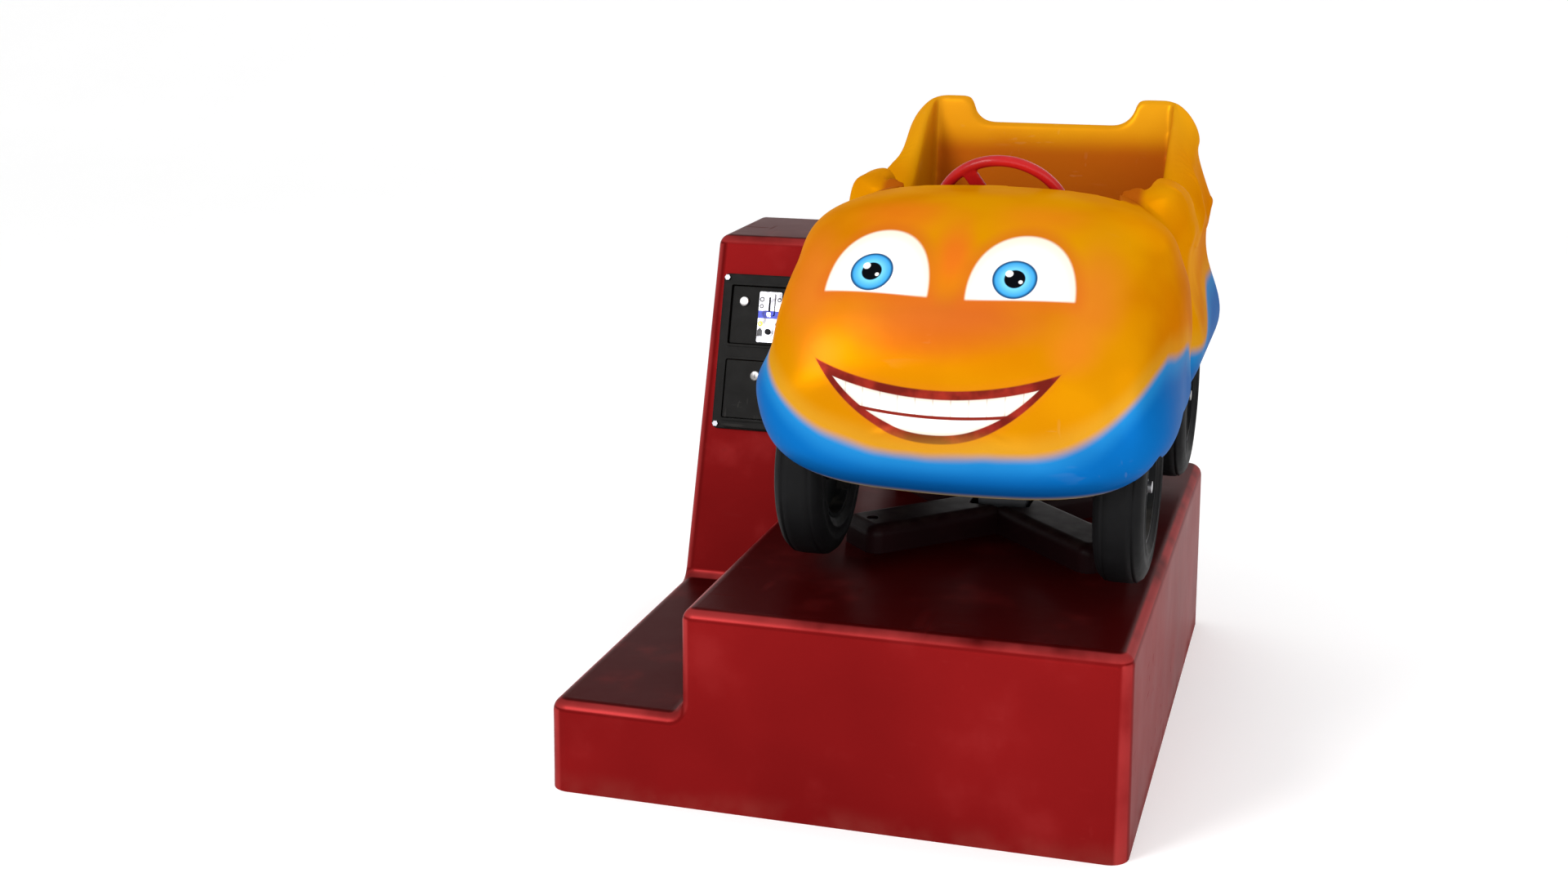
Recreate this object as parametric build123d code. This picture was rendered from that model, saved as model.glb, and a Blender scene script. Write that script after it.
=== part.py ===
from build123d import *
import math
import os

# Kiddie ride: a toy car carried round a small upright circle on two synchronised cranks.
# Millimetres, +Z up, the car faces -Y. The origin is the centre of the four floor anchors, on the floor.

# ---------------------------------------------------------------- driving dimensions
PLINTH_W, STEP_W, BASE_L = 763.0, 245.0, 1203.0
PLINTH_H, STEP_H, TOWER_H = 358.0, 167.0, 843.0
WALL_DRAFT_DEG = 1.0
SHELL_T, SHELL_R, CORNER_R = 6.0, 24.0, 34.0
TOWER_FRONT_Y, TOWER_LEAN = 93.5, 0.31          # front foot of the tower, and its lean in mm per mm of height

CAR_X, MID_Y = 50.0, 48.0                       # car centreline, and the middle of its wheelbase
CRANK_THROW, CRANK_Z, CRANK_SPAN = 20.0, 190.0, 340.0
SHAFT_R, PIN_HALF = 15.0, 125.0                 # crankshaft radius, half length of the crank pin
WEB_T, WEB_R = 14.0, 32.0
POST_X, POST_Y, OPENING_GAP = 90.0, 70.0, 12.0  # post section, and its gap in the plinth opening

AXLE_Z, WHEELBASE, AXLE_R = 550.0, 680.0, 10.0
TYRE_R, TYRE_W, TYRE_IN = 165.0, 85.0, 229.0    # tyre radius, width, inner face from the centreline
RIM_R = 98.0

BODY_T, SILL_Z, FLOOR_Z, SEAT_Z = 9.0, 612.0, 620.0, 788.0
COCKPIT_HALF, SCOOP_HALF, DASH_Y, TUB_RIM_R = 240.0, 200.0, -112.0, 16.0

STEER_Y, STEER_Z, STEER_TILT = -56.0, 955.0, 22.0
STEER_R, STEER_RIM_R, STEER_SHAFT_R = 119.0, 10.0, 9.0

PANEL_X, PANEL_Z, PANEL_W, PANEL_H, PANEL_T = -506.0, 614.5, 163.0, 320.0, 8.0
DOOR_W, DOOR_R, DOOR_GAP, DOOR_T = 124.0, 4.0, 1.5, 7.0
UPPER_DOOR_Y, UPPER_DOOR_H = 76.0, 122.0
LOWER_DOOR_Y, LOWER_DOOR_H = -77.0, 122.0
UPPER_DOOR_BACK, LOWER_DOOR_BACK = -3.0, 2.0    # back faces of the doors, from the tower's skin
LOCK_R, CAM_L, CAM_W, CAM_T = 8.0, 36.0, 12.0, 3.0

ANCHOR_X, ANCHOR_Y, ANCHOR_R = 600.0, 1000.0, 6.5
PAD_T, TUBE, TUBE_T = 12.0, 40.0, 3.0

# ---------------------------------------------------------------- clearances
RUN = 0.05          # radial running clearance of a shaft in its own bearing
OPEN_PIVOT = 0.3    # radial clearance where the closed linkage is left open
SEAT_GAP = 0.05     # gap under a flange that lies on a sloping wall
FACE = 1.0          # axial gap beside a turning piece
BELT_GAP = 0.3

# ---------------------------------------------------------------- derived positions
PLINTH_LEFT, PLINTH_RIGHT = -PLINTH_W / 2, PLINTH_W / 2
BASE_LEFT = PLINTH_LEFT - STEP_W
BASE_X = (BASE_LEFT + PLINTH_RIGHT) / 2
CRANK_FRONT, CRANK_REAR = MID_Y - CRANK_SPAN / 2, MID_Y + CRANK_SPAN / 2
PIN_Z = CRANK_Z - CRANK_THROW
AXLE_FRONT, AXLE_REAR = MID_Y - WHEELBASE / 2, MID_Y + WHEELBASE / 2
TYRE_OUT = TYRE_IN + TYRE_W
PLINTH_UNDER = PLINTH_H - SHELL_T
FRAME_Z0, FRAME_Z1 = PAD_T + 6, PAD_T + 6 + TUBE
BEAM_X = (CAR_X - 170, CAR_X + 170)             # beams that carry the bearing blocks
BLOCK_BASE_Z, BLOCK_W = 147.0, 38.0
GEAR_X0, GEAR_X1, GEAR_R, MOTOR_DROP = -255.0, -195.0, 50.0, 50.0
PULLEY_X, PULLEY_W, PULLEY_R, BELT_T = 270.0, 24.0, 45.0, 5.0
POST_TOP = AXLE_Z + 2
RAIL_Z0, RAIL_Z1 = POST_TOP + 10, POST_TOP + 40
PLATE_X = 80.0                                  # ride frame side plates, from the centreline

panel_y = TOWER_FRONT_Y + TOWER_LEAN * (PANEL_Z - STEP_H)
lean = math.atan(TOWER_LEAN)
PANEL = Plane(origin=(PANEL_X, panel_y, PANEL_Z), x_dir=(1, 0, 0),
              z_dir=(0, -math.cos(lean), math.sin(lean)))
steer_rad = math.radians(STEER_TILT)
STEER = Plane(origin=(CAR_X, STEER_Y, STEER_Z), x_dir=(-1, 0, 0),
              z_dir=(0, math.cos(steer_rad), math.sin(steer_rad)))


# ---------------------------------------------------------------- helpers
def box(x0, x1, y0, y1, z0, z1):
    return Pos((x0 + x1) / 2, (y0 + y1) / 2, (z0 + z1) / 2) * Box(x1 - x0, y1 - y0, z1 - z0)


def cyl_x(r, x0, x1, y, z):
    return Pos((x0 + x1) / 2, y, z) * Rot(0, 90, 0) * Cylinder(r, x1 - x0)


def cyl_y(r, x, y0, y1, z):
    return Pos(x, (y0 + y1) / 2, z) * Rot(90, 0, 0) * Cylinder(r, y1 - y0)


def cyl_z(r, x, y, z0, z1):
    return Pos(x, y, (z0 + z1) / 2) * Cylinder(r, z1 - z0)


def hex_z(r, x, y, z0, z1):
    return Pos(x, y, z0) * extrude(RegularPolygon(r, 6), z1 - z0)


def tube_box(x0, x1, y0, y1, z0, z1, along, t=TUBE_T):
    """A square tube, open at both ends along the named axis."""
    cut = {"x": (0, t, t), "y": (t, 0, t), "z": (t, t, 0)}[along]
    cx, cy, cz = cut
    return box(x0, x1, y0, y1, z0, z1) - box(x0 + cx, x1 - cx, y0 + cy, y1 - cy, z0 + cz, z1 - cz)


def profile_x(points, x0, x1):
    """A closed outline in the YZ plane, carried along X."""
    return extrude(Plane.YZ.offset(x0) * make_face(Polyline(*points, close=True)), x1 - x0)


def on_panel(shape):
    return PANEL * shape


def slab(w, h, z0, z1, x=0.0, y=0.0, r=0.0):
    """A plate on the coin panel's plane, w wide and h high, from z0 to z1 out of the tower's skin."""
    face = RectangleRounded(w, h, r) if r else Rectangle(w, h)
    return Pos(x, y, z0) * extrude(face, z1 - z0)


# ---------------------------------------------------------------- base
def base_form():
    env = Pos(BASE_X, 0, 0) * extrude(RectangleRounded(PLINTH_W + STEP_W, BASE_L, CORNER_R), TOWER_H + 50,
                                      taper=WALL_DRAFT_DEG)
    big = BASE_L
    plinth = box(PLINTH_LEFT, big, -big, big, 0, PLINTH_H)
    step = box(-big, PLINTH_LEFT + 50, -big, big, 0, STEP_H)
    back_y = TOWER_FRONT_Y + TOWER_LEAN * (TOWER_H - STEP_H)
    tower = profile_x([(TOWER_FRONT_Y, 0), (TOWER_FRONT_Y, STEP_H), (back_y, TOWER_H), (big, TOWER_H), (big, 0)],
                      -big, PLINTH_LEFT)
    form = ((plinth + step + tower) & env).solids()[0]
    upper = [e for e in form.edges() if min((e @ 0).Z, (e @ 1).Z) > 1]
    return fillet(upper, SHELL_R)


def post_opening(z0, z1):
    half_x = POST_X / 2 + OPENING_GAP
    half_y = POST_Y / 2 + CRANK_THROW + OPENING_GAP
    cut = Pos(CAR_X, MID_Y, z0) * extrude(RectangleRounded(2 * half_x, 2 * half_y, 10), z1 - z0)
    return cut


SHELL_BOLTS_Y = (-420.0, 0.0, 420.0)            # along the left wall
SHELL_BOLTS_X = (-420.0, 0.0, 280.0)            # along the rear wall
SHELL_BOLT_Z = FRAME_Z0 + TUBE / 2
INLET_X, INLET_Z = -500.0, 90.0


def base_shell():
    form = base_form()
    shell = offset(form, amount=-SHELL_T, openings=[form.faces().sort_by(Axis.Z)[0]])
    shell -= post_opening(PLINTH_H - 30, PLINTH_H + 10)
    shell -= on_panel(slab(DOOR_W + 15, PANEL_H - 24, -40, 20, r=8))
    for x, y in CORNER_BOLTS:
        shell -= on_panel(Pos(x, y, 0) * Cylinder(3.2, 40))
    for x, y in cover_screw_points():
        shell -= cyl_z(4.2, x, y, PLINTH_UNDER - 5, PLINTH_H + 5)
    for y in SHELL_BOLTS_Y:
        shell -= cyl_x(4.2, BASE_LEFT - 20, BASE_LEFT + 20, y, SHELL_BOLT_Z)
    for x in SHELL_BOLTS_X:
        shell -= cyl_y(4.2, x, BASE_L / 2 - 20, BASE_L / 2 + 20, SHELL_BOLT_Z)
    shell -= box(INLET_X - 14, INLET_X + 14, BASE_L / 2 - 20, BASE_L / 2 + 20, INLET_Z - 12, INLET_Z + 12)
    return shell


FRAME_IN, POST_FOOT_X = 20.0, 310.0
FRAME_X0, FRAME_X1, FRAME_Y = BASE_LEFT + FRAME_IN, PLINTH_RIGHT - FRAME_IN, BASE_L / 2 - FRAME_IN


def base_frame():
    z0, z1 = FRAME_Z0, FRAME_Z1
    frame = tube_box(FRAME_X0, FRAME_X0 + TUBE, -FRAME_Y, FRAME_Y, z0, z1, "y")
    frame += tube_box(FRAME_X1 - TUBE, FRAME_X1, -FRAME_Y, FRAME_Y, z0, z1, "y")
    for y in (-FRAME_Y + TUBE / 2, -ANCHOR_Y / 2 + 60, CRANK_FRONT, CRANK_REAR, ANCHOR_Y / 2 - 60, FRAME_Y - TUBE / 2):
        frame += tube_box(FRAME_X0 + TUBE, FRAME_X1 - TUBE, y - TUBE / 2, y + TUBE / 2, z0, z1, "x")
    for x in BEAM_X:
        frame += tube_box(x - 22, x + 22, CRANK_FRONT - 90, CRANK_REAR + 90, 103, BLOCK_BASE_Z, "y")
        for y in (CRANK_FRONT, CRANK_REAR):
            frame += tube_box(x - 20, x + 20, y - 20, y + 20, z1, 103, "z")
    frame += box(GEAR_X0 + 3, GEAR_X1 - 3, CRANK_FRONT - 50, CRANK_FRONT + 48, z1 - 1, CRANK_Z - 95)
    for x in (-POST_FOOT_X, POST_FOOT_X):
        for y in (-ANCHOR_Y / 2 + 60, ANCHOR_Y / 2 - 60):
            frame += tube_box(x - 15, x + 15, y - 15, y + 15, z1, PLINTH_UNDER - 6, "z")
            frame += box(x - 30, x + 30, y - 30, y + 30, PLINTH_UNDER - 6, PLINTH_UNDER)
    for x in (-ANCHOR_X / 2, ANCHOR_X / 2):
        for y in (-ANCHOR_Y / 2, ANCHOR_Y / 2):
            s = math.copysign(1, y)
            plate = box(x - 50, x + 50, min(y - 45 * s, y + 78 * s), max(y - 45 * s, y + 78 * s), PAD_T, z0)
            frame += plate - cyl_z(ANCHOR_R, x, y, 0, z1)
    return frame


def rubber_feet():
    feet = []
    for x in (-ANCHOR_X / 2, ANCHOR_X / 2):
        for y in (-ANCHOR_Y / 2, ANCHOR_Y / 2):
            foot = cyl_z(42, x, y, 0, PAD_T) - cyl_z(ANCHOR_R, x, y, -1, PAD_T + 1)
            feet.append(foot)
    return Compound(children=[f.solids()[0] for f in feet])


def shell_bolts():
    bolts = []
    for y in SHELL_BOLTS_Y:
        head = Pos(BASE_LEFT, y, SHELL_BOLT_Z) * Rot(0, 90, 0) * extrude(RegularPolygon(8, 6), -6)
        bolts.append(head + cyl_x(4, BASE_LEFT - 1, FRAME_X0, y, SHELL_BOLT_Z))
    for x in SHELL_BOLTS_X:
        head = Pos(x, BASE_L / 2, SHELL_BOLT_Z) * Rot(-90, 0, 0) * extrude(RegularPolygon(8, 6), 6)
        bolts.append(head + cyl_y(4, x, FRAME_Y, BASE_L / 2 + 1, SHELL_BOLT_Z))
    return Compound(children=[b.solids()[0] for b in bolts])


COVER_ARM, COVER_W, COVER_H, COVER_T = 328.0, 110.0, 52.0, 4.0


def cross_form(arm, width, height, r):
    cross = None
    for a in (45, 135):
        bar = Pos(CAR_X, MID_Y, PLINTH_H) * Rot(0, 0, a) * extrude(RectangleRounded(2 * arm, width, 24), height)
        cross = bar if cross is None else cross + bar
    top = [e for e in cross.edges() if min((e @ 0).Z, (e @ 1).Z) > PLINTH_H + height - 1]
    return fillet(top, r)


def cover_screw_points():
    reach = (COVER_ARM - 34) / math.sqrt(2)
    return [(CAR_X + sx * reach, MID_Y + sy * reach) for sx in (-1, 1) for sy in (-1, 1)]


def cross_cover():
    cover = cross_form(COVER_ARM, COVER_W, COVER_H, 20)
    cover -= cross_form(COVER_ARM - COVER_T, COVER_W - 2 * COVER_T, COVER_H - COVER_T, 16)
    for x, y in cover_screw_points():
        cover += cyl_z(14, x, y, PLINTH_H, PLINTH_H + COVER_H - 2)
    cover -= post_opening(PLINTH_H - 10, PLINTH_H + 80)
    for x, y in cover_screw_points():
        cover -= cyl_z(4.2, x, y, PLINTH_H - 1, PLINTH_H + 80)
        cover -= cyl_z(11, x, y, PLINTH_H + COVER_H - 10, PLINTH_H + 80)
    return cover


def cover_screws():
    screws = []
    for x, y in cover_screw_points():
        seat = PLINTH_H + COVER_H - 10
        head = cyl_z(9, x, y, seat, seat + 5) - hex_z(4, x, y, seat + 2, seat + 6)
        screws.append((head + cyl_z(4, x, y, PLINTH_UNDER - 8, seat)).solids()[0])
    return Compound(children=screws)


# ---------------------------------------------------------------- drive
def bearing_blocks():
    blocks = []
    for x in BEAM_X:
        for y in (CRANK_FRONT, CRANK_REAR):
            foot = box(x - BLOCK_W / 2, x + BLOCK_W / 2, y - 78, y + 78, BLOCK_BASE_Z, BLOCK_BASE_Z + 15)
            web = box(x - 14, x + 14, y - 36, y + 36, BLOCK_BASE_Z, CRANK_Z)
            block = foot + web + cyl_x(38, x - 16, x + 16, y, CRANK_Z)
            block -= cyl_x(SHAFT_R + RUN, x - 60, x + 60, y, CRANK_Z)
            for dy in (-58, 58):
                block -= cyl_z(5.2, x, y + dy, BLOCK_BASE_Z - 1, BLOCK_BASE_Z + 40)
            blocks.append(block.solids()[0])
    return Compound(children=blocks)


def block_bolts():
    bolts = []
    for x in BEAM_X:
        for y in (CRANK_FRONT, CRANK_REAR):
            for dy in (-58, 58):
                top = BLOCK_BASE_Z + 15
                bolt = hex_z(9, x, y + dy, top, top + 7) + cyl_z(5, x, y + dy, BLOCK_BASE_Z, top + 1)
                bolts.append(bolt.solids()[0])
    return Compound(children=bolts)


def crankshaft(y, left_end, right_end):
    left, right = CAR_X - PIN_HALF, CAR_X + PIN_HALF
    crank = cyl_x(SHAFT_R, left, right, y, PIN_Z)
    crank += cyl_x(SHAFT_R, left_end, left, y, CRANK_Z) + cyl_x(SHAFT_R, right, right_end, y, CRANK_Z)
    for x0 in (left - WEB_T, right):
        web = cyl_x(WEB_R, x0, x0 + WEB_T, y, CRANK_Z) + cyl_x(WEB_R - 4, x0, x0 + WEB_T, y, PIN_Z)
        crank += web
    return crank


def gearbox():
    y0, y1 = CRANK_FRONT - 50, CRANK_FRONT + 50
    body = box(GEAR_X0, GEAR_X1, y0, y1, CRANK_Z - 95, CRANK_Z)
    body = fillet([e for e in body.edges() if abs((e @ 0).X - (e @ 1).X) > 1], 6)
    body += cyl_x(GEAR_R, GEAR_X0, GEAR_X1, CRANK_FRONT, CRANK_Z)
    for x0, x1 in ((GEAR_X0 - 6, GEAR_X0), (GEAR_X1, GEAR_X1 + 6)):
        body += cyl_x(30, x0, x1, CRANK_FRONT, CRANK_Z)
    body += cyl_y(48, (GEAR_X0 + GEAR_X1) / 2, y1 - 1, y1 + 10, CRANK_Z - MOTOR_DROP)
    return body - cyl_x(SHAFT_R + RUN, GEAR_X0 - 20, GEAR_X1 + 20, CRANK_FRONT, CRANK_Z)


def motor_body():
    x, z, y0 = (GEAR_X0 + GEAR_X1) / 2, CRANK_Z - MOTOR_DROP, CRANK_FRONT + 60
    body = cyl_y(46, x, y0, y0 + 170, z) + cyl_y(52, x, y0, y0 + 12, z)
    for k in range(24):
        fin = Pos(x, y0 + 90, z) * Rot(0, 15 * k, 0) * Pos(48, 0, 0) * Box(8, 140, 2.4)
        body += fin
    return body


def fan_cowl():
    x, z, y0 = (GEAR_X0 + GEAR_X1) / 2, CRANK_Z - MOTOR_DROP, CRANK_FRONT + 230
    cowl = fillet(cyl_y(54, x, y0, y0 + 44, z).edges().sort_by(Axis.Y)[-1:], 8)
    cowl -= cyl_y(51, x, y0 + 4, y0 + 40, z)
    for r in (16, 28, 40):
        ring = cyl_y(r + 3, x, y0 + 38, y0 + 50, z) - cyl_y(r, x, y0 + 38, y0 + 50, z)
        cowl -= ring - box(x - 4, x + 4, y0, y0 + 60, z - 60, z + 60) - box(x - 60, x + 60, y0, y0 + 60, z - 4, z + 4)
    return cowl


def terminal_box():
    x, z = (GEAR_X0 + GEAR_X1) / 2, CRANK_Z - MOTOR_DROP
    case = box(x - 38, x + 38, CRANK_FRONT + 85, CRANK_FRONT + 175, z + 40, z + 96)
    case = fillet(case.edges().filter_by(Axis.Z), 8)
    return case - cyl_y(53, x, CRANK_FRONT + 60, CRANK_FRONT + 230, z)


def pulley(y):
    body = cyl_x(PULLEY_R, PULLEY_X - PULLEY_W / 2, PULLEY_X + PULLEY_W / 2, y, CRANK_Z)
    for x0 in (PULLEY_X - PULLEY_W / 2 - 3, PULLEY_X + PULLEY_W / 2):
        body += cyl_x(PULLEY_R + 6, x0, x0 + 3, y, CRANK_Z)
    return body - cyl_x(SHAFT_R, PULLEY_X - 40, PULLEY_X + 40, y, CRANK_Z)


def timing_belt():
    half, inner = PULLEY_W / 2 - FACE, PULLEY_R + BELT_GAP
    x0 = PULLEY_X - half

    def loop(r):
        face = Plane.YZ.offset(x0) * Pos(MID_Y, CRANK_Z) * SlotCenterToCenter(CRANK_SPAN, 2 * r)
        return extrude(face, 2 * half)
    return loop(inner + BELT_T) - loop(inner)


# ---------------------------------------------------------------- electrics
CTRL = (-570.0, -440.0, -90.0, 90.0, FRAME_Z1, FRAME_Z1 + 70)


def control_box():
    x0, x1, y0, y1, z0, z1 = CTRL
    case = box(x0, x1, y0, y1, z0, z1) - box(x0 + 2, x1 - 2, y0 + 2, y1 - 2, z0 + 2, z1 + 1)
    for dx in (x0 + 20, x1 - 20):
        for dy in (y0 + 20, y1 - 20):
            case += cyl_z(4, dx, dy, z0 + 1, z0 + 12)
    return case + box(x0, x1, -170, y0 + 1, z0, z0 + 3) + box(x0, x1, y1 - 1, 250, z0, z0 + 3)


def control_lid():
    x0, x1, y0, y1, z0, z1 = CTRL
    lid = box(x0 - 2, x1 + 2, y0 - 2, y1 + 2, z1, z1 + 2)
    for k in range(6):
        y = -50 + 20 * k
        lid -= box(x0 + 25, x1 - 25, y - 3, y + 3, z1 - 1, z1 + 4)
    return lid


def control_board():
    x0, x1, y0, y1, z0, z1 = CTRL
    board = box(x0 + 10, x1 - 10, y0 + 10, y1 - 10, z0 + 12, z0 + 14)
    board += box(x0 + 20, x0 + 60, -60, -10, z0 + 14, z0 + 50)
    board += box(x1 - 45, x1 - 25, -50, 50, z0 + 14, z0 + 28)
    for y in (10, 30, 50):
        board += cyl_z(7, x0 + 35, y, z0 + 14, z0 + 34)
    return board


def mains_inlet():
    y = BASE_L / 2
    wall_y = y - (INLET_Z - 17) * math.tan(math.radians(WALL_DRAFT_DEG)) + SEAT_GAP
    body = box(INLET_X - 13, INLET_X + 13, y - 30, y, INLET_Z - 11, INLET_Z + 11)
    body += box(INLET_X - 26, INLET_X + 26, wall_y, y + 3, INLET_Z - 17, INLET_Z + 17)
    body -= box(INLET_X - 10.5, INLET_X + 10.5, y - 16, y + 5, INLET_Z - 7, INLET_Z + 7)
    for dx in (-7, 0, 7):
        body += box(INLET_X + dx - 1, INLET_X + dx + 1, y - 17, y - 4, INLET_Z - 2.5, INLET_Z + 2.5)
    return body


# ---------------------------------------------------------------- coin panel
HINGE_X = DOOR_W / 2 - DOOR_GAP
CORNER_BOLTS = [(sx * (PANEL_W / 2 - 9), sy * (PANEL_H / 2 - 9)) for sx in (-1, 1) for sy in (-1, 1)]


def door_opening(y, height):
    return slab(DOOR_W, height, -60, 60, y=y, r=DOOR_R)


def coin_panel():
    panel = slab(PANEL_W, PANEL_H, 0, PANEL_T, r=12)
    panel = fillet(panel.faces().sort_by(Axis.Z)[-1].edges(), 3)
    for y, h in ((UPPER_DOOR_Y, UPPER_DOOR_H), (LOWER_DOOR_Y, LOWER_DOOR_H)):
        rim = slab(DOOR_W + 9, h + 9, PANEL_T - 1, PANEL_T + 3, y=y, r=DOOR_R + 4)
        panel += rim
    for y, h in ((UPPER_DOOR_Y, UPPER_DOOR_H), (LOWER_DOOR_Y, LOWER_DOOR_H)):
        panel -= door_opening(y, h)
    panel += slab(DOOR_W - 10, 10, PANEL_T - 1, PANEL_T + 12, y=-PANEL_H / 2 + 9, r=4)
    for x, y in CORNER_BOLTS:
        panel -= Pos(x, y, 0) * Cylinder(3.2, 60)
    for pin in pin_cylinders(HINGE_PIN_R):
        panel -= pin
    return on_panel(panel)


def panel_bolts():
    bolts = []
    for x, y in CORNER_BOLTS:
        bolt = Pos(x, y, PANEL_T) * extrude(RegularPolygon(6, 6), 5) + Pos(x, y, 0) * Cylinder(3, 2 * PANEL_T + 2)
        bolts.append(on_panel(bolt).solids()[0])
    return Compound(children=bolts)


def door(y, height, back, lock_xy):
    w, h = DOOR_W - 2 * DOOR_GAP, height - 2 * DOOR_GAP
    leaf = slab(w, h, back, back + DOOR_T, y=y, r=DOOR_R - 1)
    leaf = fillet(leaf.faces().sort_by(Axis.Z)[-1].edges(), 1.5)
    leaf -= Pos(lock_xy[0], lock_xy[1], 0) * Cylinder(LOCK_R + RUN, 80)
    for pin in pin_cylinders(HINGE_PIN_R + RUN):
        leaf -= pin
    return leaf


UPPER_LOCK, LOWER_LOCK = (-34.0, 104.0), (4.0, -48.0)
PLATE_XY, PLATE_WH = (22.0, 74.0), (48.0, 104.0)
SLOT_Y, BUTTON_XY, BUTTON_R = 100.0, (22.0, 44.0), 6.0


def upper_door():
    leaf = door(UPPER_DOOR_Y, UPPER_DOOR_H, UPPER_DOOR_BACK, UPPER_LOCK)
    leaf -= slab(5, 32, -20, 20, x=PLATE_XY[0], y=SLOT_Y, r=2)
    leaf -= Pos(BUTTON_XY[0], BUTTON_XY[1], 0) * Cylinder(BUTTON_R + 1, 60)
    return on_panel(leaf)


def lower_door():
    return on_panel(door(LOWER_DOOR_Y, LOWER_DOOR_H, LOWER_DOOR_BACK, LOWER_LOCK))


def coin_plate():
    z = UPPER_DOOR_BACK + DOOR_T
    plate = slab(*PLATE_WH, z, z + 2, x=PLATE_XY[0], y=PLATE_XY[1], r=3)
    plate += slab(20, 46, z + 1, z + 6, x=PLATE_XY[0], y=SLOT_Y, r=4)
    plate -= slab(4, 30, z - 1, z + 10, x=PLATE_XY[0], y=SLOT_Y, r=1.5)
    plate += Pos(BUTTON_XY[0], BUTTON_XY[1], z + 2) * Cylinder(BUTTON_R + 4, 4)
    plate -= Pos(BUTTON_XY[0], BUTTON_XY[1], z) * Cylinder(BUTTON_R + RUN, 40)
    return on_panel(plate)


def coin_acceptor():
    z1 = UPPER_DOOR_BACK
    case = slab(52, 96, z1 - 46, z1, x=PLATE_XY[0], y=PLATE_XY[1])
    case -= slab(4, 30, z1 - 30, z1 + 1, x=PLATE_XY[0], y=SLOT_Y)
    case -= Pos(BUTTON_XY[0], BUTTON_XY[1], z1) * Cylinder(BUTTON_R + 1, 40)
    return on_panel(case)


def reject_button():
    z = UPPER_DOOR_BACK + DOOR_T
    x, y = BUTTON_XY
    stem = Pos(x, y, z - 8) * extrude(Circle(BUTTON_R), 16)
    return on_panel(fillet(stem.edges().sort_by(Axis.Z)[-1:], 1.5))


def lock(xy, back, angle):
    """Key barrel with a domed face, and the cam behind the door, drawn unlocked."""
    x, y = xy
    front = back + DOOR_T
    barrel = Pos(x, y, back - 14) * extrude(Circle(LOCK_R), front - back + 14)
    cap = Pos(x, y, front + 0.3) * extrude(Circle(LOCK_R + 3), 4)
    cap = fillet(cap.edges().sort_by(Axis.Z)[-1:], 3)
    keyway = Pos(x, y, front + 3) * extrude(Rectangle(1.6, 9), 4)
    cam = Pos(x, y, back - 12) * Rot(0, 0, angle) * Pos(CAM_L / 2 - 4, 0, 0) * extrude(
        RectangleRounded(CAM_L + 8, CAM_W, 3), CAM_T)
    neck = Pos(x, y, front - 0.5) * extrude(Circle(LOCK_R), 1.2)
    return on_panel(barrel + neck + cap - keyway + cam)


HINGE_PIN_R = 1.5


def pin_cylinders(r):
    """The four short pins that the doors swing on, at the right-hand corners of the two openings."""
    pins = []
    for y, h, back in ((UPPER_DOOR_Y, UPPER_DOOR_H, UPPER_DOOR_BACK), (LOWER_DOOR_Y, LOWER_DOOR_H, LOWER_DOOR_BACK)):
        for end in (-1, 1):
            pins.append(Pos(HINGE_X - 3, y + end * (h / 2 + 2), back + DOOR_T - 3) * Rot(90, 0, 0) * Cylinder(r, 16))
    return pins


def hinge_pins():
    return Compound(children=[on_panel(pin).solids()[0] for pin in pin_cylinders(HINGE_PIN_R)])


def cash_shelf():
    y0 = LOWER_DOOR_Y - LOWER_DOOR_H / 2 + 2
    shelf = slab(DOOR_W + 8, 3, -150, 0, y=y0 - 4)
    for sx in (-1, 1):
        shelf += slab(3, 90, -150, 0, x=sx * (DOOR_W / 2 + 2.5), y=y0 + 39.5)
    return on_panel(shelf)


def cash_box():
    y0 = LOWER_DOOR_Y - LOWER_DOOR_H / 2 - 0.5
    w, h, d = DOOR_W - 12, 82, 116
    case = slab(w, h, -24 - d, -24, y=y0 + h / 2) - slab(w - 4, h, -22 - d, -26, y=y0 + h / 2 + 3)
    return on_panel(case + slab(30, 8, -25, -19, y=y0 + 54, r=3))


# ---------------------------------------------------------------- ride frame and chassis
def ride_frame():
    frame = None
    for sx in (-1, 1):
        x = CAR_X + sx * PLATE_X
        plate = box(x - 5, x + 5, CRANK_FRONT - 38, CRANK_REAR + 38, PIN_Z - 34, PIN_Z + 34)
        plate = fillet(plate.edges().filter_by(Axis.X), 20)
        for y in (CRANK_FRONT, CRANK_REAR):
            plate -= cyl_x(SHAFT_R + 7, x - 20, x + 20, y, PIN_Z)
        plate -= cyl_x(18, x - 20, x + 20, MID_Y, PIN_Z - 4)
        frame = plate if frame is None else frame + plate
    inner = PLATE_X - 4
    for y in (MID_Y - 75, MID_Y + 75):
        frame += tube_box(CAR_X - inner, CAR_X + inner, y - 20, y + 20, PIN_Z - 16, PIN_Z + 24, "x")
    deck = PIN_Z + 24
    frame += box(CAR_X - inner, CAR_X + inner, MID_Y - 95, MID_Y + 95, deck, deck + 8)
    frame += tube_box(CAR_X - POST_X / 2, CAR_X + POST_X / 2, MID_Y - POST_Y / 2, MID_Y + POST_Y / 2,
                      deck + 8, POST_TOP, "z", 4)
    for sx in (-1, 1):
        gusset = profile_x([(MID_Y - 92, deck + 8), (MID_Y + 92, deck + 8), (MID_Y + 30, deck + 70),
                            (MID_Y - 30, deck + 70)], CAR_X + sx * 30 - 3, CAR_X + sx * 30 + 3)
        frame += gusset
    top = Pos(CAR_X, MID_Y, POST_TOP) * extrude(RectangleRounded(200, 200, 14), 10)
    for x, y in chassis_bolt_points():
        top -= cyl_z(6.2, x, y, POST_TOP - 1, POST_TOP + 11)
    return frame + top


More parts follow.
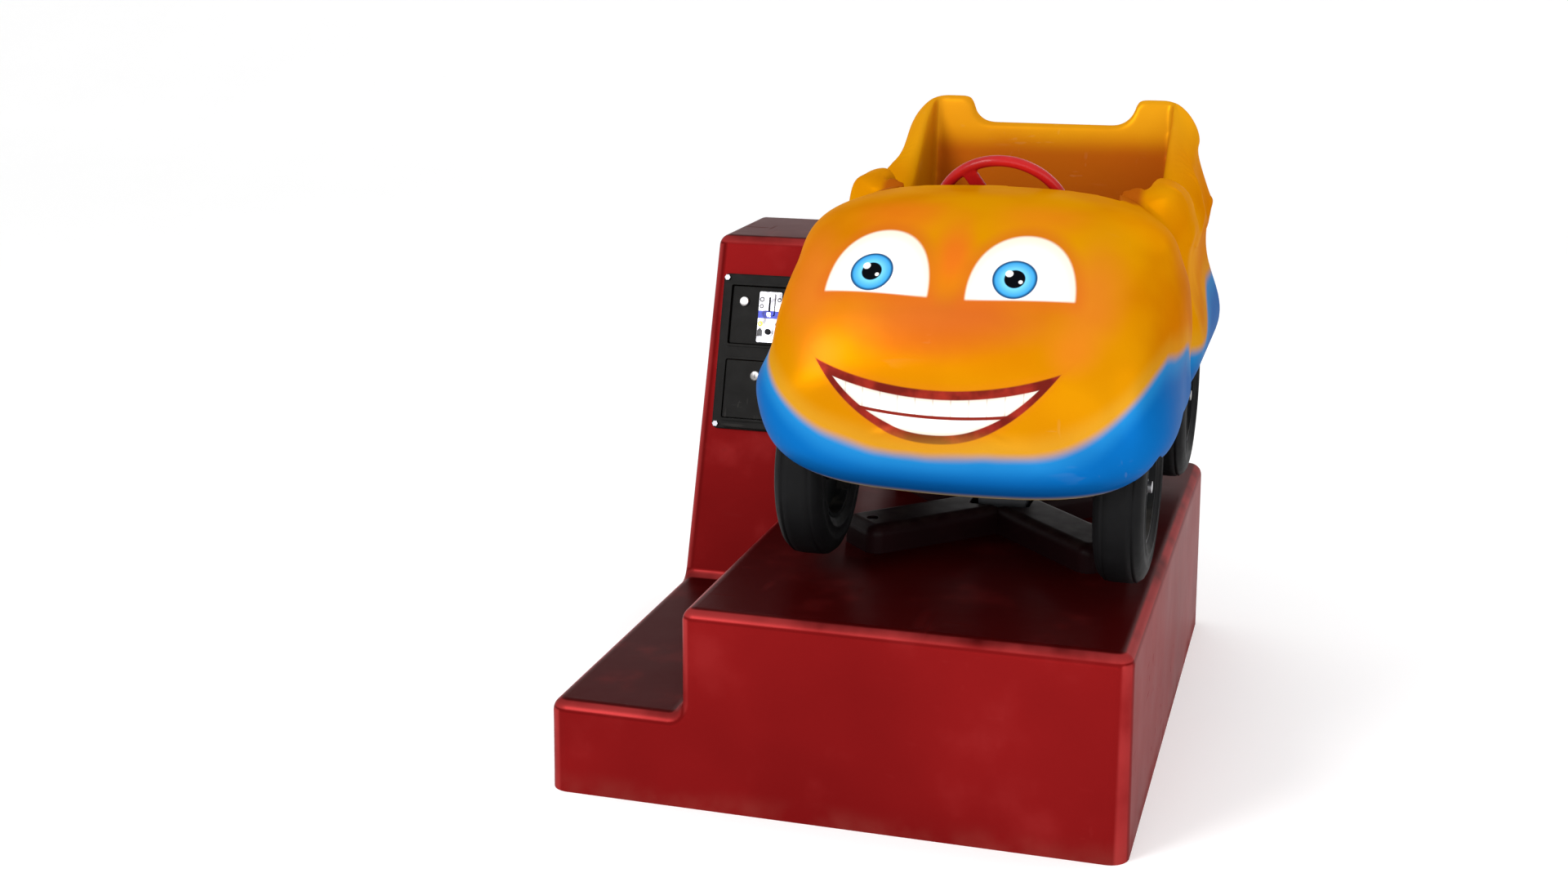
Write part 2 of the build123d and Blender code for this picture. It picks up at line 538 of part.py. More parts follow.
def chassis_bolt_points():
    return [(CAR_X + sx * 78, MID_Y + sy * 78) for sx in (-1, 1) for sy in (-1, 1)]


def pin_bushes(y, clearance):
    bushes = []
    for sx in (-1, 1):
        x = CAR_X + sx * PLATE_X
        bush = cyl_x(SHAFT_R + 7, x - 5, x + 5, y, PIN_Z) + cyl_x(SHAFT_R + 14, x - 11, x - 5, y, PIN_Z)
        bush += cyl_x(SHAFT_R + 14, x + 5, x + 11, y, PIN_Z)
        bushes.append((bush - cyl_x(SHAFT_R + clearance, x - 20, x + 20, y, PIN_Z)).solids()[0])
    return Compound(children=bushes)


RAIL_X, RAIL_W = 165.0, 40.0


def chassis():
    y0, y1 = AXLE_FRONT - 40, AXLE_REAR + 40
    frame = None
    for sx in (-1, 1):
        x = CAR_X + sx * RAIL_X
        rail = tube_box(x - RAIL_W / 2, x + RAIL_W / 2, y0, y1, RAIL_Z0, RAIL_Z1, "y")
        for y in (AXLE_FRONT, AXLE_REAR):
            lug = box(x - 12, x + 12, y - 22, y + 22, AXLE_Z - 20, RAIL_Z0)
            rail += lug - cyl_x(AXLE_R, x - 30, x + 30, y, AXLE_Z)
        frame = rail if frame is None else frame + rail
    inner = RAIL_X - RAIL_W / 2
    for y in (y0 + 20, MID_Y - 78, MID_Y + 78, y1 - 20):
        frame += tube_box(CAR_X - inner, CAR_X + inner, y - 20, y + 20, RAIL_Z0, RAIL_Z1, "x")
    for x, y in chassis_bolt_points():
        frame -= cyl_z(6.2, x, y, RAIL_Z0 - 1, RAIL_Z0 + TUBE_T + 1)
    for sx in (-1, 1):
        for y in BODY_BOLTS_Y:
            x = CAR_X + sx * RAIL_X
            frame += cyl_z(14, x, y, RAIL_Z1 - 1, SILL_Z)
    return frame


BODY_BOLTS_Y = (-30.0, 150.0)


def chassis_bolts():
    bolts = []
    for x, y in chassis_bolt_points():
        shank = cyl_z(6, x, y, POST_TOP - 8, RAIL_Z0 + TUBE_T + 4)
        nut = hex_z(10, x, y, POST_TOP - 9, POST_TOP)
        head = hex_z(10, x, y, RAIL_Z0 + TUBE_T, RAIL_Z0 + TUBE_T + 8)
        bolts.append((shank + nut + head).solids()[0])
    return Compound(children=bolts)


def axle(y):
    end = TYRE_OUT - 4
    shaft = cyl_x(AXLE_R, CAR_X - end, CAR_X + end, y, AXLE_Z)
    for sx in (-1, 1):
        x = CAR_X + sx * (HUB_IN - FACE - 4)
        shaft += cyl_x(AXLE_R + 6, x - 4, x + 4, y, AXLE_Z)
    return shaft


HUB_IN, HUB_OUT = TYRE_IN + 8, TYRE_OUT - 24


def axle_nuts(y):
    nuts = []
    for sx in (-1, 1):
        x0 = HUB_OUT + FACE
        nut = Pos(CAR_X + sx * x0, y, AXLE_Z) * Rot(0, sx * 90, 0) * extrude(RegularPolygon(17, 6), 11)
        nut += Pos(CAR_X + sx * (x0 + 1), y, AXLE_Z) * Rot(0, sx * 90, 0) * Cylinder(21, 2)
        nut -= cyl_x(AXLE_R, CAR_X + sx * x0 - 30, CAR_X + sx * x0 + 30, y, AXLE_Z)
        nuts.append(nut.solids()[0])
    return Compound(children=nuts)


def spun_x(points, sx, y):
    """An outline of (distance from the centreline, radius) turned about a wheel's axis."""
    outline = [(sx * (CAR_X * sx + d), r) for d, r in points]
    face = make_face(Polyline(*[(x, 0, r) for x, r in outline], close=True))
    return Pos(0, y, AXLE_Z) * revolve(face, Axis.X)


def tyre(sx, y):
    i, o, r = TYRE_IN, TYRE_OUT, TYRE_R
    section = [(i + 8, RIM_R), (i, RIM_R + 10), (i, r - 26), (i + 4, r - 12), (i + 12, r - 4), (i + 22, r),
               (o - 22, r), (o - 12, r - 4), (o - 4, r - 12), (o, r - 26), (o, RIM_R + 10), (o - 8, RIM_R)]
    return spun_x(section, sx, y)


def rim(sx, y):
    i, o, bore = HUB_IN, TYRE_OUT - 8, AXLE_R + RUN
    section = [(i, bore), (i, 30), (i + 22, 34), (i + 22, RIM_R - 8), (i, RIM_R - 6), (i, RIM_R), (o, RIM_R),
               (o, RIM_R - 6), (i + 32, RIM_R - 14), (i + 32, 40), (HUB_OUT, 30), (HUB_OUT, bore)]
    return spun_x(section, sx, y)


# ---------------------------------------------------------------- car body
# Nose sections: y, half width, underside, top. Tub sections: height, half width, front, rear.
NOSE = ((-558, 105, 646, 692), (-551, 205, 622, 715), (-540, 278, 593, 788), (-512, 326, 572, 850),
        (-462, 356, 558, 917), (-400, 368, 550, 967), (-320, 370, 547, 1003), (-220, 368, 547, 1022),
        (-110, 360, 547, 1024), (30, 345, 547, 1012))
TUB = ((590, 326, -2, 536), (660, 340, -4, 556), (725, 350, -6, 564), (768, 338, -5, 562), (805, 325, -3, 559),
       (920, 321, -2, 555), (1020, 319, 0, 552), (1145, 314, 10, 545))
SIDE_TOP = ((-40, 960), (10, 1004), (60, 1022), (120, 1018), (180, 975), (230, 964), (290, 1000), (350, 1062),
            (410, 1108), (470, 1129), (530, 1112), (580, 1040))


def nose_section(y, half, z0, z1, power=3.5, taper=0.17, tuck=0.13, count=24):
    mid, high = (z0 + z1) / 2, (z1 - z0) / 2
    points = []
    for k in range(count):
        a = 2 * math.pi * (k + 0.5) / count
        c, s = math.cos(a), math.sin(a)
        up = math.copysign(abs(s) ** (2 / power), s)
        out = half * math.copysign(abs(c) ** (2 / power), c) * (1 - taper * ((1 + up) / 2) ** 3 - tuck * ((1 - up) / 2) ** 2)
        points.append((CAR_X + out, y, mid + high * up))
    return make_face(Spline(*points, periodic=True))


def inset_nose_rows(inset):
    """The nose sections moved inwards, square to the skin, so that the wall keeps its thickness round the front."""
    rows = []
    for k, (y, half, z0, z1) in enumerate(NOSE):
        before, after = NOSE[max(k - 1, 0)], NOSE[min(k + 1, len(NOSE) - 1)]
        run = after[0] - before[0]
        back = inset * math.sin(math.atan2(after[1] - before[1], run))

        def inwards(rise):
            slope = math.atan2(max(rise, 0), run)
            return max(inset - back * math.sin(slope), 0.1) / math.cos(slope)
        rows.append((y + back, half - inwards(after[1] - before[1]), z0 + inwards(before[2] - after[2]),
                     z1 - inwards(after[3] - before[3])))
    return rows


def nose(inset=0.0):
    return loft([nose_section(*row) for row in (inset_nose_rows(inset) if inset else NOSE)])


def tub(inset=0.0):
    rows = [Pos(CAR_X, (y0 + y1) / 2, z) * RectangleRounded(2 * (w - inset), y1 - y0 - 2 * inset, 100 - inset)
            for z, w, y0, y1 in TUB]
    body = loft(rows)
    curve = Spline(*[(0, y, z - inset) for y, z in SIDE_TOP])
    lid = Polyline(curve @ 1, (0, SIDE_TOP[-1][0], 1300), (0, SIDE_TOP[0][0], 1300), curve @ 0)
    above = extrude(Pos(CAR_X - 400, 0, 0) * make_face([curve, lid]), 800, dir=(1, 0, 0))
    back = Pos(CAR_X, 480, 1076 - inset + 100) * Rot(90, 0, 0) * extrude(
        RectangleRounded(2 * (165 + inset), 200, 45), 150, both=True)
    body = body - above - back
    rim = [e for e in body.edges() if e.center().Z > SILL_Z + 338 - inset]
    return fillet(rim, TUB_RIM_R - inset)


def cockpit(grow=0.0):
    """The hollow for the riders: footwell, bench and raked seat back, open at the top."""
    g = grow
    outline = [(DASH_Y - g, FLOOR_Z - g), (216 - g, FLOOR_Z - g), (226 - g, SEAT_Z - g), (426 + g, SEAT_Z - 8 - g),
               (474 + g, 1250), (DASH_Y - g, 1250)]
    if g:
        outline[1:3] = [(216 + g, FLOOR_Z - g), (226 + g, SEAT_Z - g)]
    side = profile_x(outline, CAR_X - 300, CAR_X + 300)
    main = box(CAR_X - COCKPIT_HALF - g, CAR_X + COCKPIT_HALF + g, 20 - g, 600, 500, 1300)
    main = fillet(main.edges().filter_by(Axis.Z).sort_by(Axis.Y)[:2], 50)
    scoop = box(CAR_X - SCOOP_HALF - g, CAR_X + SCOOP_HALF + g, DASH_Y - 50, 90, 500, 1300)
    return side & (main + scoop)


def wheel_wells():
    wells = None
    for y in (AXLE_FRONT, AXLE_REAR):
        for sx in (-1, 1):
            a, b = sorted((CAR_X + sx * (TYRE_IN - 10), CAR_X + sx * (TYRE_OUT + 6)))
            well = box(a, b, y - TYRE_R - 10, y + TYRE_R + 10, 400, AXLE_Z + TYRE_R + 12)
            wells = well if wells is None else wells + well
    return wells


def car_body():
    outer = nose() + tub()
    void = nose(BODY_T) + tub(BODY_T) - cockpit(8)
    body = outer - void - cockpit()
    body -= box(CAR_X - TYRE_OUT - 8, CAR_X + TYRE_OUT + 8, AXLE_FRONT - TYRE_R - 14, 536, 400, SILL_Z)
    body -= wheel_wells()
    body -= STEER * Pos(0, 0, -COLUMN_LEN) * Cylinder(COLUMN_R, COLUMN_LEN + 70)
    for sx in (-1, 1):
        for y in BODY_BOLTS_Y:
            body -= cyl_z(5.2, CAR_X + sx * RAIL_X, y, SILL_Z - 5, FLOOR_Z + 1)
    return body.solids().sort_by(SortBy.VOLUME)[-1]


def floor_mat():
    mat = box(CAR_X - 190, CAR_X + 190, DASH_Y + 12, 208, FLOOR_Z, FLOOR_Z + 4)
    mat = fillet(mat.edges().filter_by(Axis.Z), 20)
    for k in range(12):
        y = DASH_Y + 34 + 24 * k
        mat += box(CAR_X - 170, CAR_X + 170, y - 4, y + 4, FLOOR_Z + 3, FLOOR_Z + 6)
    for sx in (-1, 1):
        for y in BODY_BOLTS_Y:
            mat -= cyl_z(11, CAR_X + sx * RAIL_X, y, FLOOR_Z - 1, FLOOR_Z + 10)
    return mat


def body_bolts():
    bolts = []
    for sx in (-1, 1):
        for y in BODY_BOLTS_Y:
            x = CAR_X + sx * RAIL_X
            bolt = cyl_z(9, x, y, FLOOR_Z, FLOOR_Z + 5) + cyl_z(5, x, y, SILL_Z, FLOOR_Z + 1)
            bolts.append(bolt.solids()[0])
    return Compound(children=bolts)


# ---------------------------------------------------------------- steering
COLUMN_R, COLUMN_LEN = 17.0, 130.0


def steering_column():
    tube = Pos(0, 0, -40 - COLUMN_LEN) * extrude(Circle(COLUMN_R), COLUMN_LEN)
    tube -= Pos(0, 0, -100) * Cylinder(STEER_SHAFT_R + RUN, 400)
    return STEER * tube


def steering_flange():
    normal = (STEER_Y - DASH_Y) / math.cos(steer_rad)
    point = STEER * Pos(0, 0, -normal)
    z = point.position.Z
    ring = cyl_y(36, CAR_X, DASH_Y, DASH_Y + 5, z)
    for a in (45, 135, 225, 315):
        ring += cyl_y(5, CAR_X + 28 * math.cos(math.radians(a)), DASH_Y + 4, DASH_Y + 8,
                      z + 28 * math.sin(math.radians(a)))
    return ring - STEER * Pos(0, 0, -100) * Cylinder(COLUMN_R, 400)


def steering_shaft():
    shaft = Pos(0, 0, -COLUMN_LEN - 48) * extrude(Circle(STEER_SHAFT_R), COLUMN_LEN + 42)
    collar = Pos(0, 0, -COLUMN_LEN - 49) * extrude(Circle(STEER_SHAFT_R + 5), 8)
    return STEER * (shaft + collar)


def steering_wheel():
    wheel = Torus(STEER_R, STEER_RIM_R)
    hub = Pos(0, 0, -30) * extrude(Circle(24), 34)
    hub = fillet(hub.edges(), 3)
    wheel += hub
    for a in (60, 180, 300):
        spoke = Rot(0, 0, a) * Pos((STEER_R + 16) / 2, 0, -5) * Box(STEER_R - 20, 26, 7)
        wheel += spoke
    wheel -= Pos(0, 0, -36) * extrude(Circle(STEER_SHAFT_R), 30)
    return STEER * (wheel - Pos(0, 0, 1) * extrude(Circle(16), 10))


def steering_cap():
    cap = Pos(0, 0, 1) * extrude(Circle(16), 7)
    return STEER * fillet(cap.edges().sort_by(Axis.Z)[-1:], 4)


# ---------------------------------------------------------------- all nodes
NODES = {
    "base_shell": base_shell, "base_frame": base_frame, "rubber_feet": rubber_feet, "shell_bolts": shell_bolts,
    "cross_cover": cross_cover, "cover_screws": cover_screws,
    "bearing_blocks": bearing_blocks, "block_bolts": block_bolts, "gearbox": gearbox, "motor_body": motor_body,
    "fan_cowl": fan_cowl, "terminal_box": terminal_box, "timing_belt": timing_belt,
    "front_crankshaft": lambda: crankshaft(CRANK_FRONT, GEAR_X0 - 8, PULLEY_X + 20),
    "rear_crankshaft": lambda: crankshaft(CRANK_REAR, BEAM_X[0] - 40, PULLEY_X + 20),
    "front_pulley": lambda: pulley(CRANK_FRONT), "rear_pulley": lambda: pulley(CRANK_REAR),
    "control_box": control_box, "control_lid": control_lid, "control_board": control_board,
    "mains_inlet": mains_inlet,
    "coin_panel": coin_panel, "panel_bolts": panel_bolts, "hinge_pins": hinge_pins,
    "upper_door": upper_door, "coin_plate": coin_plate, "coin_acceptor": coin_acceptor,
    "reject_button": reject_button, "lower_door": lower_door,
    "upper_lock": lambda: lock(UPPER_LOCK, UPPER_DOOR_BACK, -90),
    "lower_lock": lambda: lock(LOWER_LOCK, LOWER_DOOR_BACK, 180),
    "cash_shelf": cash_shelf, "cash_box": cash_box,
    "ride_frame": ride_frame, "front_bushes": lambda: pin_bushes(CRANK_FRONT, RUN),
    "rear_bushes": lambda: pin_bushes(CRANK_REAR, OPEN_PIVOT),
    "chassis": chassis, "chassis_bolts": chassis_bolts,
    "front_axle": lambda: axle(AXLE_FRONT), "rear_axle": lambda: axle(AXLE_REAR),
    "front_axle_nuts": lambda: axle_nuts(AXLE_FRONT), "rear_axle_nuts": lambda: axle_nuts(AXLE_REAR),
    "car_body": car_body, "floor_mat": floor_mat, "body_bolts": body_bolts,
    "steering_column": steering_column, "steering_flange": steering_flange, "steering_shaft": steering_shaft,
    "steering_wheel": steering_wheel, "steering_cap": steering_cap,
}
for name, sx, y in (("fl", 1, AXLE_FRONT), ("fr", -1, AXLE_FRONT), ("rl", 1, AXLE_REAR), ("rr", -1, AXLE_REAR)):
    NODES["tyre_" + name] = lambda sx=sx, y=y: tyre(sx, y)
    NODES["rim_" + name] = lambda sx=sx, y=y: rim(sx, y)

os.makedirs("parts", exist_ok=True)
for node, make in NODES.items():
    export_step(make(), f"parts/{node}.step")
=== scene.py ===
import math
import bpy
import numpy as np
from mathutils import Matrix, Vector


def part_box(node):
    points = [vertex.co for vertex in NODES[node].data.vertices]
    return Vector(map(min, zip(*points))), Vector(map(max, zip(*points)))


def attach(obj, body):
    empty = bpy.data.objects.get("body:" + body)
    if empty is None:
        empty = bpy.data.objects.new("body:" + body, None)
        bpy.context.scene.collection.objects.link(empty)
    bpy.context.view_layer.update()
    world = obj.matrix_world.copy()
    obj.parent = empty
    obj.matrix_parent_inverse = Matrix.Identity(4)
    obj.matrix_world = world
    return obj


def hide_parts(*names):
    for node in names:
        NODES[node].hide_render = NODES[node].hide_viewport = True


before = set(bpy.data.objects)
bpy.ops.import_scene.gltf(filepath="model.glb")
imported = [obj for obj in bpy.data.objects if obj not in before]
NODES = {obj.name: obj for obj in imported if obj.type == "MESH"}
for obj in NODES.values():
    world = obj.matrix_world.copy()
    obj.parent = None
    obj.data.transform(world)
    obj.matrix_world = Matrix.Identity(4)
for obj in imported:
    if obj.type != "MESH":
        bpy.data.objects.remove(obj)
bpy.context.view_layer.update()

MM = 0.001
car_low, car_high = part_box("front_axle")
CAR_X = (car_low.x + car_high.x) / 2
AXLE_FRONT = (car_low.y + car_high.y) / 2
AXLE_Z = (car_low.z + car_high.z) / 2
AXLE_REAR = sum(corner.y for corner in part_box("rear_axle")) / 2
TOWER_LEAN = math.atan(0.31)


# ---------------------------------------------------------------- small node language
def rgb(r, g, b):
    """An sRGB colour out of 255 as a linear colour."""
    def one(v):
        v /= 255
        return v / 12.92 if v <= 0.04045 else ((v + 0.055) / 1.055) ** 2.4
    return (one(r), one(g), one(b), 1.0)


def shade(colour, k):
    return tuple(min(1.0, c * k) for c in colour[:3]) + (1.0,)


class Val:
    """One number that varies over a surface."""

    def __init__(self, paint, socket):
        self.paint, self.socket = paint, socket

    def __add__(self, other):
        return self.paint.math("ADD", self, other)

    def __sub__(self, other):
        return self.paint.math("SUBTRACT", self, other)

    def __rsub__(self, other):
        return self.paint.math("SUBTRACT", other, self)

    def __mul__(self, other):
        return self.paint.math("MULTIPLY", self, other)

    def __truediv__(self, other):
        return self.paint.math("DIVIDE", self, other)

    def __pow__(self, other):
        return self.paint.math("POWER", self, other)

    def __abs__(self):
        return self.paint.math("ABSOLUTE", self, 0.0)

    __radd__, __rmul__ = __add__, __mul__

    def step(self, low, high):
        """0 below low, 1 above high, smooth between."""
        node = self.paint.add("ShaderNodeMapRange", interpolation_type="SMOOTHSTEP")
        self.paint.put(node.inputs["Value"], self)
        node.inputs["From Min"].default_value = low
        node.inputs["From Max"].default_value = high
        return Val(self.paint, node.outputs[0])

    def below(self, high, low):
        """1 below low, 0 above high, smooth between."""
        return 1.0 - self.step(low, high)

    def least(self, other):
        return self.paint.math("MINIMUM", self, other)

    def most(self, other):
        return self.paint.math("MAXIMUM", self, other)

    def wave(self, period):
        return self.paint.math("SINE", self * (2 * math.pi / period), 0.0)


class Paint:
    """A procedural material. Its coordinates are the row frame's, in metres, with the node at rest."""

    def __init__(self, name, rough=0.5, metal=0.0, **sockets):
        self.material = bpy.data.materials.new(name)
        self.material.use_nodes = True
        self.tree = self.material.node_tree
        self.tree.nodes.clear()
        self.shader = self.add("ShaderNodeBsdfPrincipled")
        output = self.add("ShaderNodeOutputMaterial")
        self.tree.links.new(self.shader.outputs[0], output.inputs["Surface"])
        sockets.update({"Roughness": rough, "Metallic": metal})
        for key, value in sockets.items():
            self.shader.inputs[key.replace("_", " ")].default_value = value
        self.here = self.add("ShaderNodeTexCoord").outputs["Object"]
        self.normal = None

    def add(self, kind, **settings):
        node = self.tree.nodes.new(kind)
        for key, value in settings.items():
            setattr(node, key, value)
        return node

    def put(self, socket, value):
        if isinstance(value, Val):
            self.tree.links.new(value.socket, socket)
        elif isinstance(value, bpy.types.NodeSocket):
            self.tree.links.new(value, socket)
        else:
            socket.default_value = value

    def math(self, operation, a, b):
        node = self.add("ShaderNodeMath", operation=operation)
        self.put(node.inputs[0], a)
        self.put(node.inputs[1], b)
        return Val(self, node.outputs[0])

    def xyz(self, origin=(0, 0, 0)):
        split = self.add("ShaderNodeSeparateXYZ")
        self.put(split.inputs[0], self.here)
        return [Val(self, split.outputs[k]) - origin[k] for k in range(3)]

    def facing(self):
        """The surface's own direction, as three numbers."""
        split = self.add("ShaderNodeSeparateXYZ")
        self.put(split.inputs[0], self.add("ShaderNodeNewGeometry").outputs["Normal"])
        return [Val(self, split.outputs[k]) for k in range(3)]

    def noise(self, scale, detail=2.0, stretch=(1, 1, 1), roughness=0.5):
        where = self.add("ShaderNodeMapping")
        self.put(where.inputs["Vector"], self.here)
        where.inputs["Scale"].default_value = stretch
        node = self.add("ShaderNodeTexNoise")
        self.put(node.inputs["Vector"], where.outputs[0])
        node.inputs["Scale"].default_value = scale
        node.inputs["Detail"].default_value = detail
        node.inputs["Roughness"].default_value = roughness
        return Val(self, node.outputs[0])

    def mix(self, share, a, b):
        node = self.add("ShaderNodeMix", data_type="RGBA")
        self.put(node.inputs[0], share)
        self.put(node.inputs[6], a)
        self.put(node.inputs[7], b)
        return node.outputs[2]

    def colour(self, value):
        self.put(self.shader.inputs["Base Color"], value)

    def rough(self, value):
        self.put(self.shader.inputs["Roughness"], value)

    def bump(self, height, depth):
        """Raises the surface by height times depth metres, on top of earlier bumps."""
        node = self.add("ShaderNodeBump")
        node.inputs["Distance"].default_value = depth
        self.put(node.inputs["Height"], height)
        if self.normal is not None:
            self.put(node.inputs["Normal"], self.normal)
        self.normal = node.outputs[0]
        self.put(self.shader.inputs["Normal"], self.normal)


# ---------------------------------------------------------------- finishes
def scratches(p, scale=60.0):
    """Fine hairline scuffs that run several ways."""
    lines = None
    for k, stretch in enumerate(((1, 0.06, 0.4), (0.07, 1, 0.5), (0.3, 0.08, 1))):
        one = p.noise(scale * (1 + 0.17 * k), 1.0, stretch).step(0.70, 0.76)
        lines = one if lines is None else lines.most(one)
    patch = p.noise(4.0, 2.0).step(0.52, 0.68)
    return lines * patch


def gelcoat(name, colour, dark, pale, rough):
    """Glossy coloured GRP: slow tone changes, painted shade on faces that look upwards, a painted highlight
    on rolled edges and corners, moulding ripple, orange peel, hairline scuffs, a dusty foot.
    """
    p = Paint(name, rough=rough, metal=0.25, Specular_IOR_Level=0.03, Specular_Tint=(0.5, 0.12, 0.12, 1.0))
    z = p.xyz()[2]
    nx, ny, nz = p.facing()
    tone = p.mix(p.noise(2.2, 3.0).step(0.3, 0.7), dark, colour)
    # Painted shade: faces that look upwards are painted darker, a little on the sloping tower front and
    # strongly on the flat tops.
    tone = p.mix(nz.step(0.16, 0.28) * 0.42, tone, shade(dark, 0.5))
    tone = p.mix(nz.step(0.4, 0.85) * 0.92, tone, shade(dark, 0.26))
    tone = p.mix(p.noise(9.0, 4.0).step(0.55, 0.8) * 0.16, tone, pale)
    # Painted highlight: rolled top edges and vertical corners are painted paler, broken up by noise.
    rolled = nz.step(0.36, 0.5) * nz.below(0.97, 0.88)
    corner = abs(nx).step(0.28, 0.5) * abs(ny).step(0.28, 0.5) * nz.below(0.36, 0.2)
    edge_highlight = rolled.most(corner) * p.noise(7.0, 3.0).step(0.2, 0.6)
    tone = p.mix(edge_highlight * 0.6, tone, shade(pale, 1.25))
    scuff = scratches(p)
    tone = p.mix(scuff * 0.08, tone, pale)
    foot = z.below(0.05, 0.0) * p.noise(14.0, 5.0).step(0.35, 0.7)
    tone = p.mix(foot * 0.10, tone, rgb(150, 96, 84))
    p.colour(tone)
    p.rough(p.noise(5.0, 3.0) * 0.14 + scuff * 0.18 + foot * 0.2 + (rough - 0.07))
    p.bump(p.noise(5.5, 1.0), 1.6 * MM)
    p.bump(p.noise(24.0, 1.0), 0.22 * MM)
    p.bump(p.noise(420.0, 1.0), 0.012 * MM)
    return p.material


def coated(name, colour, rough, grain=900.0, depth=0.03, spread=0.12, dust=0.1, metal=0.0, coat=0.0):
    """Paint, powder coat or moulded plastic with a fine grain, blotches and a little dust."""
    p = Paint(name, rough=rough, metal=metal, Coat_Weight=coat, Coat_Roughness=0.25, Specular_IOR_Level=0.06)
    nz = p.facing()[2]
    tone = p.mix(p.noise(11.0, 4.0).step(0.3, 0.7), shade(colour, 1 - spread), shade(colour, 1 + spread))
    tone = p.mix(nz.step(0.3, 0.9) * p.noise(30.0, 4.0).step(0.35, 0.7) * dust, tone, rgb(150, 140, 128))
    scuff = scratches(p, 110.0)
    tone = p.mix(scuff * 0.06, tone, rgb(140, 136, 132))
    p.colour(tone)
    p.rough(p.noise(40.0, 3.0) * 0.16 + scuff * 0.1 + (rough - 0.08))
    p.bump(p.noise(grain, 2.0), depth * MM)
    return p.material


def bare(name, colour, rough, along=(1, 0.03, 1), tarnish=rgb(92, 84, 74), depth=0.01):
    """Bare metal with a directional grain and spots of tarnish."""
    p = Paint(name, rough=rough, metal=1.0)
    lines = p.noise(700.0, 2.0, along)
    tone = p.mix(lines.step(0.3, 0.7), shade(colour, 0.86), colour)
    spots = p.noise(38.0, 5.0).step(0.56, 0.74)
    p.colour(p.mix(spots * 0.35, tone, tarnish))
    p.rough(lines * 0.14 + spots * 0.22 + (rough - 0.07))
    p.bump(lines, depth * MM)
    return p.material


def rubber(name, colour, rough=0.72):
    """Dull moulded rubber with a bloom and dust on top."""
    p = Paint(name, rough=rough, Specular_IOR_Level=0.08)
    nz = p.facing()[2]
    bloom = p.noise(16.0, 5.0).step(0.4, 0.75)
    tone = p.mix(bloom * 0.5, colour, shade(colour, 1.7))
    tone = p.mix(nz.step(0.3, 1.0) * p.noise(45.0, 4.0).step(0.4, 0.7) * 0.2, tone, rgb(110, 104, 96))
    p.colour(tone)
    p.rough(p.noise(60.0, 3.0) * 0.2 + (rough - 0.1))
    p.bump(p.noise(520.0, 3.0), 0.05 * MM)
    p.bump(p.noise(90.0, 2.0), 0.08 * MM)
    return p.material


BOARD_FACE = 0.075      # height of the control board's upper face


def circuit(name):
    """Green board with tracks, and dark chips standing on its upper face."""
    p = Paint(name, rough=0.4)
    x, _, z = p.xyz()
    track = (x + p.noise(30.0, 0.0) * 0.004).wave(0.006).step(0.4, 0.6)
    tone = p.mix(track * 0.5, rgb(22, 92, 52), rgb(60, 140, 84))
    top = z.step(BOARD_FACE - 0.0005, BOARD_FACE + 0.0005)
    tone = p.mix(top, tone, p.mix(p.noise(50.0, 1.0).step(0.45, 0.5), rgb(24, 26, 30), rgb(60, 64, 72)))
    p.colour(tone)
    p.bump(track, 0.05 * MM)
    return p.material


def panel_axes(p, node):
    """Distances across and up the sloping coin panel, from the middle of a node on it."""
    low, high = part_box(node)
    x, y, z = p.xyz((low + high) / 2)
    return x, y * math.sin(TOWER_LEAN) + z * math.cos(TOWER_LEAN)


# Coin discs printed on the plate: across, up, radius, ink.
PLATE_COLUMN = 0.018
PRINT_EDGE = 0.0006
DARK_INK = rgb(46, 44, 46)
PLATE_DISCS = (
    (-PLATE_COLUMN, 0.036, 0.0052, DARK_INK),
    (-PLATE_COLUMN, 0.022, 0.0044, DARK_INK),
    (-PLATE_COLUMN, -0.014, 0.0050, rgb(214, 178, 40)),
    (0.019, -0.014, 0.0050, DARK_INK),
    (0.019, 0.036, 0.0044, DARK_INK),
)


def coin_plate_finish(name):
    """Brushed plate with a blue band, plain coin discs and an arrow. It has no words."""
    p = Paint(name, rough=0.34, metal=0.55)
    u, v = panel_axes(p, "coin_plate")
    lines = p.noise(900.0, 2.0, (0.04, 1, 1))
    tone = p.mix(lines.step(0.3, 0.7), rgb(150, 150, 158), rgb(184, 184, 190))
    band = (v + 0.003).least(0.013 - v)
    tone = p.mix(band.step(0.0, PRINT_EDGE), tone, rgb(30, 40, 120))
    for du, dv, size, ink in PLATE_DISCS:
        far = ((u - du) ** 2 + (v - dv) ** 2) ** 0.5
        disc = far.below(size + 0.0004, size)
        hole = far.below(size * 0.52, size * 0.46)
        tone = p.mix(disc - hole, tone, ink)
    shaft = 0.006 - abs(u + PLATE_COLUMN)
    arrow = shaft.least(v + 0.040).least(-0.028 - v + shaft)
    tone = p.mix(arrow.step(0.0, PRINT_EDGE), tone, rgb(34, 34, 36))
    light = (0.0042 - abs(u + 0.001)).least(v - 0.0005).least(0.0095 - v)
    tone = p.mix(light.step(0.0, PRINT_EDGE), tone, rgb(226, 226, 232))
    grime = p.noise(60.0, 4.0).step(0.5, 0.75)
    p.colour(p.mix(grime * 0.22, tone, rgb(96, 88, 78)))
    p.rough(lines * 0.16 + grime * 0.2 + 0.24)
    p.bump(lines, 0.01 * MM)
    return p.material


